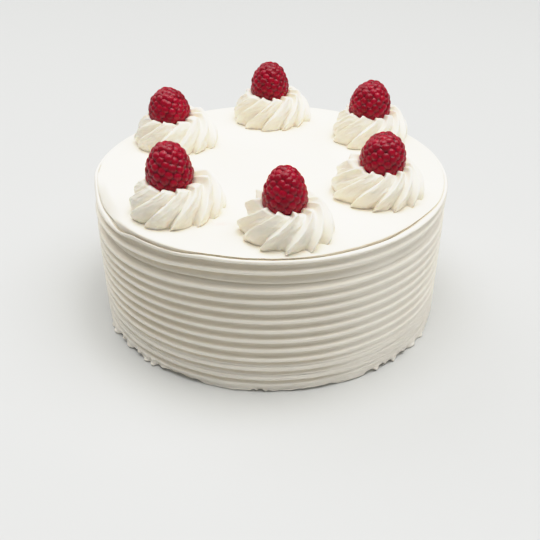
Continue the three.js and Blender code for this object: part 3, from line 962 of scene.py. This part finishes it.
# %% The tree of a rosette
def piped_rosette_tree():
    tree, size = new_tree("Piped rosette", {
        "Blades": 11, "Across": 44 * MM, "Deep": 42 * MM, "Turned": 0.0, "Fullness": 0.5,
        "Fuller side": 0.0, "Fuller by": 0.0, "Stand X": 0.0, "Stand Y": 0.0, "Berry width": 22 * MM,
        "Berry height": 25 * MM, "Berry point": 1.7, "Berry X": 0.0, "Berry Y": 0.0, "Berry lean": 0.0,
        "Seed": 1.0})
    seed = size["Seed"]
    wheel = Wheel(tree, size["Geometry"], size["Blades"] * POINTS_A_BLADE)
    share = wheel.carried("share")
    inward = wheel.carried("inward")
    down = wheel.carried("down")
    full = wheel.carried("reach")

    # Across each blade: 1 on its thin crest and 0 in its groove. The blades aren't quite evenly spaced.
    spaced = wheel.turn * size["Blades"] + wheel.around(5, 0.0, seed + 6) * 0.22 + 20.0
    phase = spaced.math("FRACT")
    plump = (size["Fullness"] + wheel.around(7, share, seed + 5) * 0.35).most(0.0).least(1.0)
    crest = mix(curve(phase, SHARP_SECTION), curve(phase, PLUMP_SECTION), plump)
    outside = 1.0 - inward

    # The way round, and one side that swells out.
    low = (share * -5).math("EXPONENT")
    curl = crest ** 3 * 0.08 / size["Blades"] * FULL_TURN * (1.0 - share)
    angle = wheel.angle + size["Turned"] + share ** 1.5 * SWIRL_TURN - curl
    nearness = (angle - size["Fuller side"] + 90 * DEGREE).math("COSINE")
    fuller = ramp(nearness, math.cos(50 * DEGREE), 1.0) * size["Fuller by"]

    # How far out a blade reaches as it rises, and how uneven the hand was.
    closing = 1.0 - CROWN_CLOSING * share ** 2.2
    tucked = 1.0 - (0.02 + 0.06 * crest) * (share * -9).math("EXPONENT")
    groove = mix(SHARP_GROOVE + 0.06 * low, PLUMP_GROOVE + 0.03 * low, plump)
    uneven = wheel.around(9, share * 1.2, seed) * 0.05 + wheel.around(26, share * 3, seed + 1) * 0.026 + 1.0
    reach = closing * tucked * (uneven + fuller) * (1.0 - groove * (1.0 - crest)) * full

    # Soft folds and fine lines that the nozzle dragged along the blades, and small tears on their crests.
    folds = wheel.around(44, share * 4, seed + 7) * FOLD_DEPTH
    lines = wheel.around(110, share * 1.5, seed + 2) * LINE_DEPTH
    tears = ramp(wheel.around(80, share * 9, seed + 3), 0.2, 1.2) * crest ** 4 * TEAR_DEPTH
    reach = reach - (lines + folds + tears) * full

    # The crown stands up in tips, and is notched between them.
    tip = (wheel.around(13, 0.0, seed + 4) * 1.2 + fuller * 14) * MM
    notch = tip * crest - CROWN_NOTCH * (1.0 - crest) * (1.0 - 0.4 * plump)
    crown = share * CROWN_HEIGHT + notch * share ** 3
    across = angle.math("COSINE") * reach * size["Across"] / 2
    deep = angle.math("SINE") * reach * size["Deep"] / 2

    # The cup: down inside the crown, just under the skin of the berry.
    height = mix(crown, BERRY_SINK - CUP_FLOOR_GAP, down.most(0.0)) - down.least(0.0) * CUP_EDGE_RISE
    berry_share = ((height - BERRY_SINK) / size["Berry height"]).most(0.0).least(1.0)
    skin = berry_form(berry_share, size["Berry point"]) * size["Berry width"] / 2
    pivot = BERRY_SINK + BERRY_WIDEST * size["Berry height"]
    axis_x = size["Berry X"] + (height - pivot) * size["Berry lean"].math("TANGENT")
    away_x = across - axis_x
    away_y = deep - size["Berry Y"]
    away = (away_x ** 2.0 + away_y ** 2.0).math("SQRT").most(TOUCHING)
    kept_off = away.most((skin + CREAM_OUTSIDE) * full)
    cup = (skin - CUP_INSIDE).most(LEAST_CUP) * full
    ring = mix(kept_off, cup, inward)
    is_foot = 1.0 - full.math("GREATER_THAN", 0.8)
    ring = mix(ring, away, is_foot * outside)
    x = size["Stand X"] + axis_x + away_x / away * ring
    y = size["Stand Y"] + size["Berry Y"] + away_y / away * ring
    sunk = (share * -14).math("EXPONENT") * FOOT_SINK
    place = vector(tree, x, y, height + TOP - sunk)
    # Painted shade, warm: the finish darkens the grooves between crests, more near the foot, and the inside
    # of the cup.
    hollow_shade = ((1.0 - crest) * (0.12 + 0.5 * low) * outside + inward * 0.4).least(1.0)
    return finish_tree(tree, wheel.grid, place, PIPED_CREAM, {"hollow_shade": hollow_shade})


# %% Pipe the six rosettes
ROSETTE_TREE = piped_rosette_tree()
rosettes = []
for number, topping in enumerate(TOPPINGS, start=1):
    rosettes.append(grow(f"cream_rosette_{number}", rosette_rows(), ROSETTE_TREE, {
        "Blades": topping["blades"],
        "Across": topping["across"] * MM,
        "Deep": topping["deep"] * MM,
        "Turned": topping["turned"] * DEGREE,
        "Fullness": topping["fullness"],
        "Fuller side": topping["fuller"][0] * DEGREE,
        "Fuller by": topping["fuller"][1],
        "Stand X": topping["x"] * MM,
        "Stand Y": topping["y"] * MM,
        "Berry width": topping["width"] * MM,
        "Berry height": topping["tip"] * MM - BERRY_SINK,
        "Berry point": topping["point"],
        "Berry X": topping["dx"] * MM,
        "Berry Y": topping["dy"] * MM,
        "Berry lean": topping["lean"] * DEGREE,
        "Seed": 20.0 + 7 * number,
    }))

# %% [markdown]
# ## The raspberries
#
# The beads of a raspberry sit in spirals, each turned by the golden angle from the one before, as the
# scales of a cone or the seeds of a sunflower are. The tree sets out points by that rule under the
# berry's form, deep enough for a bead to reach the form from there. Then it swells a fine skin round
# them: each point of the skin finds the nearest bead and is pushed out onto that bead's sphere. The beads
# are larger than the gaps between their middles, so they flatten each other and leave shallow creases.

# %% The tree of a raspberry
GOLDEN_ANGLE = math.pi * (3 - math.sqrt(5))
BERRY_COLUMNS = 190
BERRY_ROWS = 150
SLOPE_STEP = 0.004
LEAST_SWELL = 0.8 * MM
CREASE_REACH = 1.7 * MM


def raspberry_tree():
    tree, size = new_tree("Raspberry", {
        "Width": 22 * MM, "Height": 25 * MM, "Point": 1.7, "Bead radius": 2.85 * MM, "Beads": 132,
        "Jitter": 0.2 * MM, "Columns": BERRY_COLUMNS, "Rows": BERRY_ROWS, "Seed": 1})
    bead_radius = size["Bead radius"]
    half_width = size["Width"] / 2

    def under_form(angle, share):
        """A place one bead radius under the berry's form, measured square to it."""
        above = (share + SLOPE_STEP).least(1.0)
        below = (share - SLOPE_STEP).most(0.0)
        widening = (berry_form(above, size["Point"]) - berry_form(below, size["Point"])) * half_width
        slope = widening / ((above - below) * size["Height"])
        length = (slope ** 2.0 + 1.0).math("SQRT")
        around = (berry_form(share, size["Point"]) * half_width - bead_radius / length).most(0.0)
        return vector(tree, angle.math("COSINE") * around, angle.math("SINE") * around,
                      share * size["Height"] + bead_radius * slope / length)

    # The middles of the beads.
    points = result(tree, "GeometryNodePoints", {"Count": size["Beads"]})
    index = result(tree, "GeometryNodeInputIndex")
    order = (index + 0.5) / size["Beads"]
    spiral = under_form(index * GOLDEN_ANGLE + size["Seed"], 1.0 - order ** 0.9)
    shake = result(tree, "FunctionNodeRandomValue", {"Seed": size["Seed"]}, data_type="FLOAT_VECTOR")
    shaken = vector_math("SUBTRACT", shake, (0.5, 0.5, 0.5))
    jitter = result(tree, "ShaderNodeVectorMath", {"Vector": shaken, "Scale": size["Jitter"] * 2},
                    operation="SCALE")
    beads = result(tree, "GeometryNodeSetPosition",
                   {"Geometry": points, "Position": spiral, "Offset": jitter})

    # The bare form that carries them.
    grid = result(tree, "GeometryNodeMeshGrid", {
        "Size X": 1.0, "Size Y": 1.0, "Vertices X": size["Columns"] + 1, "Vertices Y": size["Rows"] + 1})
    x, y = x_and_y(result(tree, "GeometryNodeInputPosition"))
    turn = (x + 0.5) * FULL_TURN
    rise = 0.5 - ((y + 0.5) * math.pi).math("COSINE") * 0.5
    form = result(tree, "GeometryNodeSetPosition", {"Geometry": grid, "Position": under_form(turn, rise)})
    form = result(tree, "GeometryNodeMergeByDistance", {"Geometry": form, "Distance": TOUCHING})

    # Each point of the form goes out to the sphere of the nearest bead.
    here = result(tree, "GeometryNodeInputPosition")
    nearest = result(tree, "GeometryNodeSampleNearest", {"Geometry": beads, "Sample Position": here})
    middle = result(tree, "GeometryNodeSampleIndex",
                    {"Geometry": beads, "Value": here, "Index": nearest}, data_type="FLOAT_VECTOR")
    own = result(tree, "FunctionNodeRandomValue", {"ID": nearest, "Seed": size["Seed"] + 5},
                 data_type="FLOAT")
    sphere = bead_radius * (0.95 + 0.10 * own)
    outward = result(tree, "GeometryNodeInputNormal")
    to_middle = vector_math("SUBTRACT", middle, here)
    ahead = vector_math("DOT_PRODUCT", to_middle, outward)
    gap = vector_math("LENGTH", to_middle)
    swell = ahead + (sphere ** 2.0 - gap ** 2.0 + ahead ** 2.0).most(LEAST_SWELL ** 2).math("SQRT")
    form = store(tree, form, {"crease": (gap / CREASE_REACH).least(1.2), "bead": own})
    push = result(tree, "ShaderNodeVectorMath", {"Vector": outward, "Scale": swell}, operation="SCALE")
    swollen = result(tree, "GeometryNodeSetPosition", {"Geometry": form, "Offset": push})
    return end_tree(tree, swollen, RASPBERRY_SKIN)


# %% Grow the six berries, and lean each one in its cup
def berry_place(topping):
    """The berry leans about its widest point, and sits in its own rosette."""
    pivot = BERRY_WIDEST * (topping["tip"] * MM - BERRY_SINK)
    lean = Matrix.Rotation(topping["lean"] * DEGREE, 4, "Y")
    to_pivot = Matrix.Translation((0, 0, pivot))
    stand = Vector((topping["x"] + topping["dx"], topping["y"] + topping["dy"], 0)) * MM
    lift = Matrix.Translation(stand + Vector((0, 0, TOP + BERRY_SINK)))
    return lift @ to_pivot @ lean @ to_pivot.inverted()


RASPBERRY_TREE = raspberry_tree()
raspberries = []
for number, topping in enumerate(TOPPINGS, start=1):
    berry = grow(f"raspberry_fruit_{number}", [row_of(0.0, 0.0)], RASPBERRY_TREE, {
        "Width": topping["width"] * MM,
        "Height": topping["tip"] * MM - BERRY_SINK,
        "Point": topping["point"],
        "Seed": 40 + number,
    })
    berry.data.transform(berry_place(topping))
    raspberries.append(berry)

# %% [markdown]
# ## What each piece stands for
#
# Every fine piece takes the place of a solid and rides on the one body of the cake.

# %% Ride and replace
for piece in (icing_side, icing_top):
    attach(piece, "root")
    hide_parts("cake_body")
for number, piece in enumerate(rosettes, start=1):
    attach(piece, "root")
    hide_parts(f"rosette_{number}")
for number, piece in enumerate(raspberries, start=1):
    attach(piece, "root")
    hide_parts(f"raspberry_{number}")

# %% [markdown]
# ## Floor, light and camera
#
# The cake stands on a plain pale floor, under broad soft lights from above, from the right and from the
# left at the back, and a dim even sky. The camera looks down at it from the front.

# %% The floor
FLOOR_SIZE = 6.0
FLOOR_HEIGHT = -0.2 * MM
FLOOR_GREY = (0.63, 0.635, 0.62, 1.0)


def make_floor():
    half = FLOOR_SIZE / 2
    mesh = bpy.data.meshes.new("floor")
    corners = [(x * half, y * half, FLOOR_HEIGHT) for x, y in ((-1, -1), (1, -1), (1, 1), (-1, 1))]
    mesh.from_pydata(corners, [], [(0, 1, 2, 3)])
    material, _, shader, _ = new_finish("Pale floor", Roughness=0.6)
    shader.inputs["Base Color"].default_value = FLOOR_GREY
    mesh.materials.append(material)
    floor = bpy.data.objects.new("floor", mesh)
    bpy.context.scene.collection.objects.link(floor)
    return floor


floor = make_floor()
floor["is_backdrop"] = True

# %% The lights
LIGHT_SIZE = 1.6
LIT_PLACE = Vector((0.0, 0.0, 0.05))
SKY_STRENGTH = 0.255


def soft_light(name, place, power):
    lamp = bpy.data.lights.new(name, "AREA")
    lamp.shape = "SQUARE"
    lamp.size = LIGHT_SIZE
    lamp.energy = power
    light = bpy.data.objects.new(name, lamp)
    light.location = place
    aim = LIT_PLACE - Vector(place)
    light.rotation_euler = aim.to_track_quat("-Z", "Y").to_euler()
    bpy.context.scene.collection.objects.link(light)


soft_light("softbox_overhead", (-0.12, -0.08, 2.2), 29.5)
soft_light("softbox_right", (0.93, 0.0, 2.0), 26.5)
soft_light("softbox_left_back", (-1.1, 1.1, 1.55), 13.5)

world = bpy.data.worlds.new("Studio")
world.use_nodes = True
sky = world.node_tree.nodes["Background"]
sky.inputs["Color"].default_value = (1.0, 1.0, 1.0, 1.0)
sky.inputs["Strength"].default_value = SKY_STRENGTH
bpy.context.scene.world = world

# %% [markdown]
# ## How the camera records bright whites
#
# White icing under a lamp is brighter than a picture can show. A real camera doesn't cut it off: it keeps
# the middle tones as they are, and lets the brightest ones run gently up to white. The curve below does
# the same. Up to KNEE it is a straight line, and above it the tones approach 1 ever more slowly.

# %% The curve for the highlights
KNEE = 0.7
BRIGHTEST = 2.0
CURVE_TONES = (0.2, 0.4, 0.6, 0.7, 0.8, 0.9, 1.0, 1.15, 1.3, 1.5, 1.75)


def recorded(tone):
    if tone <= KNEE:
        return tone
    return 1 - (1 - KNEE) * math.exp(-(tone - KNEE) / (1 - KNEE))


view = bpy.context.scene.view_settings
view.view_transform = "Standard"
view.use_curve_mapping = True
view.curve_mapping.white_level = (BRIGHTEST, BRIGHTEST, BRIGHTEST)
response = view.curve_mapping.curves[3]
for tone in CURVE_TONES:
    response.points.new(tone / BRIGHTEST, recorded(tone))
for knot in response.points:
    knot.handle_type = "AUTO_CLAMPED"
view.curve_mapping.update()
print(f"a tone of 0.5 is recorded as {recorded(0.5):.3f}, 1 as {recorded(1):.3f}, 1.5 as {recorded(1.5):.3f}")

# %% The camera
CAMERA_PLACE = (-0.162 * MM, -396.887 * MM, 262.705 * MM)
CAMERA_DOWN = 32.28
IMAGE_SIZE = 540
FOCAL_PIXELS = 850

lens = bpy.data.cameras.new("camera")
lens.sensor_width = 36.0
lens.lens = lens.sensor_width * FOCAL_PIXELS / IMAGE_SIZE
camera = bpy.data.objects.new("camera", lens)
camera.location = CAMERA_PLACE
camera.rotation_euler = ((90 - CAMERA_DOWN) * DEGREE, 0.0, 0.0)
bpy.context.scene.collection.objects.link(camera)
bpy.context.scene.camera = camera

# %% [markdown]
# ## The size of the dressed cake
#
# The dressed cake must keep the size of the solids, so its box is printed.

# %% Sizes, and the end
low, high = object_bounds()
print("box of the dressed cake:", tuple(low), tuple(high))
